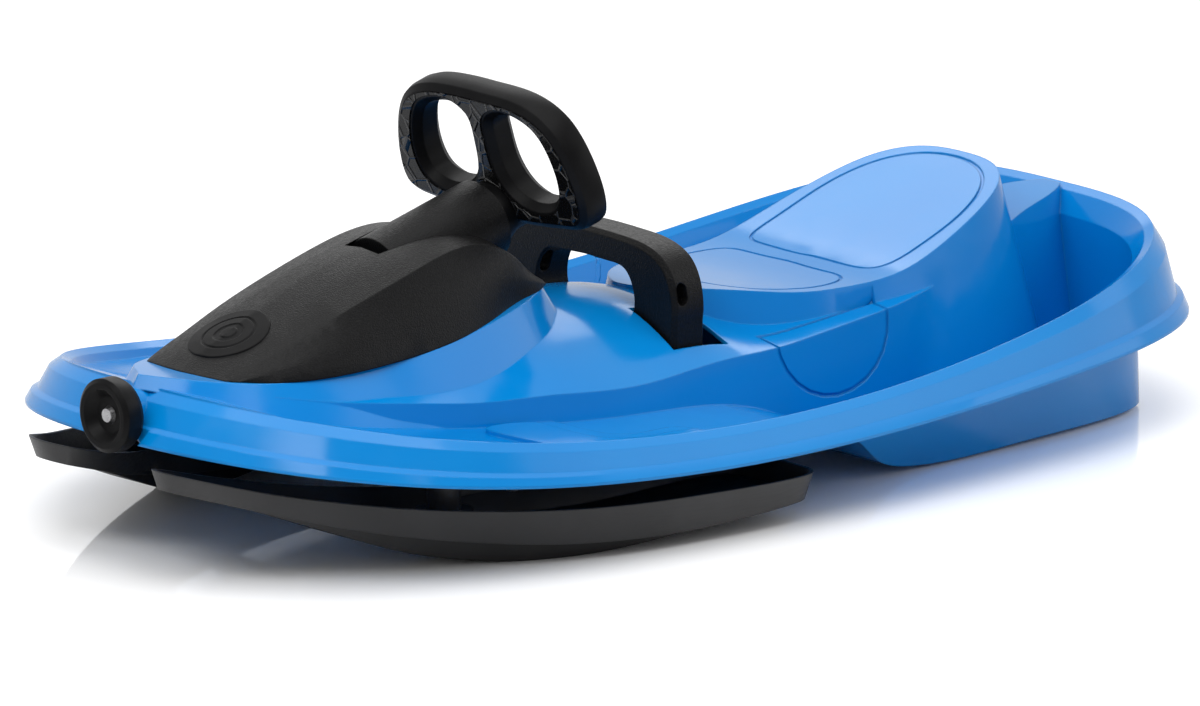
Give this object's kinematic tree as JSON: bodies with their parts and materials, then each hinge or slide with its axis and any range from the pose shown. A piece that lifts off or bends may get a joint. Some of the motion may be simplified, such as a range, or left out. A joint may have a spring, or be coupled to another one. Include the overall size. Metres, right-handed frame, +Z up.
{
  "type": "steering sled",
  "caption": "Moulded sled with a raised seat and backrest, deep footwells, a steering wheel that turns a pair of front skis, a pull-up claw brake and a tow knob at the nose.",
  "frame": {"origin": "centre of the bounding box in X and Y, on the ground", "axes": "+X forward along the sled, +Y to the rider's left, +Z up"},
  "size_m": [1.166, 0.6082, 0.3672],
  "materials": {
    "shell_blue": "glossy moulded shell",
    "grained_black": "fine grained",
    "grip_black": "satin",
    "gloss_black": "glossy",
    "ski_black": "satin",
    "gear_black": "satin",
    "bearing_grey": "satin",
    "plain_steel": "brushed"
  },
  "bodies": {
    "frame": {"hull": "shell_blue", "hood_cover": "grained_black", "column_housing": "grained_black", "upper_bushing": "bearing_grey", "lower_bushing": "bearing_grey", "left_rack_guide": "bearing_grey", "right_rack_guide": "bearing_grey", "left_kingpin": "plain_steel", "right_kingpin": "plain_steel", "left_washer": "bearing_grey", "right_washer": "bearing_grey", "cord_eyelet": "bearing_grey"},
    "steering": {"steering_wheel": "grip_black", "grip_inlay": "gloss_black", "hub_cap": "gloss_black", "steering_shaft": "plain_steel", "drop_arm": "plain_steel"},
    "rack": {"steering_rack": "gear_black", "left_rack_pin": "plain_steel", "right_rack_pin": "plain_steel"},
    "left_runner": {"left_ski": "ski_black", "left_keel": "ski_black", "left_steer_arm": "gear_black"},
    "right_runner": {"right_ski": "ski_black", "right_keel": "ski_black", "right_steer_arm": "gear_black"},
    "brake": {"brake_lever": "grained_black", "brake_axle": "plain_steel", "left_claw": "plain_steel", "right_claw": "plain_steel"},
    "knob": {"pull_knob": "grip_black", "knob_stem": "gear_black", "knob_screw": "plain_steel"}
  },
  "joints": [
    {"name": "steering_turn", "type": "hinge", "parent": "frame", "child": "steering", "pos_m": [0.1385, 0, 0.2437], "axis": [-0.9613, 0, 0.2756], "range_deg": [-28, 28]},
    {"name": "rack_slide", "type": "slide", "parent": "frame", "child": "rack", "axis": [0, -1, 0], "range_m": [-0.0175, 0.0175]},
    {"name": "left_ski_turn", "type": "hinge", "parent": "frame", "child": "left_runner", "pos_m": [0.35345, 0.19, 0.06], "axis": [0, 0, 1], "range_deg": [-12.4, 12.4]},
    {"name": "right_ski_turn", "type": "hinge", "parent": "frame", "child": "right_runner", "pos_m": [0.35345, -0.19, 0.06], "axis": [0, 0, 1], "range_deg": [-12.4, 12.4]},
    {"name": "brake_pull", "type": "hinge", "parent": "frame", "child": "brake", "pos_m": [-0.002, 0, 0.1], "axis": [0, -1, 0], "range_deg": [0, 20], "stiffness_Nm_per_rad": 2, "springref_deg": -11.46},
    {"name": "knob_pull", "type": "slide", "parent": "frame", "child": "knob", "axis": [1, 0, 0], "range_m": [0, 0.035], "stiffness_N_per_m": 120, "springref_m": -0.005}
  ],
  "couplings": [
    {"joint": "rack_slide", "follows": "steering_turn", "m_per_rad": 0.0355},
    {"joint": "left_ski_turn", "follows": "steering_turn", "ratio": 0.44},
    {"joint": "right_ski_turn", "follows": "steering_turn", "ratio": 0.44}
  ]
}
